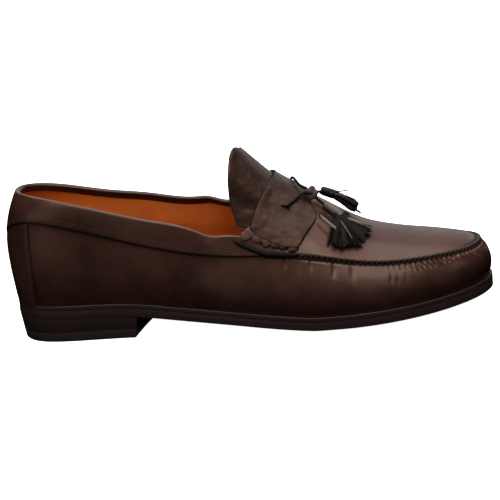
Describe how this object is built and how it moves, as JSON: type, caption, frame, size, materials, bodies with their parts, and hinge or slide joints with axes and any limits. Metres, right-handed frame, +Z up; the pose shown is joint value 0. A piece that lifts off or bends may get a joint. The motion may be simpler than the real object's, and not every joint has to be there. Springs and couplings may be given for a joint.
{
  "type": "tassel loafer",
  "caption": "Right-foot leather tassel loafer with hand-sewn apron, saddle strap, two tassels, collar band, welted leather sole and low heel.",
  "frame": {"origin": "centre of the shoe's box in plan, on the floor", "axes": "+X towards the toe, +Y towards the inner side of the foot, +Z up"},
  "size_m": [0.3056, 0.1032, 0.11],
  "materials": {
    "calf": "polished",
    "lining": "matte",
    "edge": "satin",
    "rubber": "matte",
    "thong": "satin"
  },
  "bodies": {
    "root": {"outsole": "edge", "welt": "edge", "heel_stack": "edge", "heel_top_lift": "rubber", "insole": "lining", "upper": "calf", "collar_band": "calf", "heel_strip": "calf", "tongue": "calf", "saddle_strap": "calf", "near_lace": "thong", "far_lace": "thong", "lace_knot": "thong", "near_tassel": "calf", "far_tassel": "calf"}
  },
  "joints": []
}
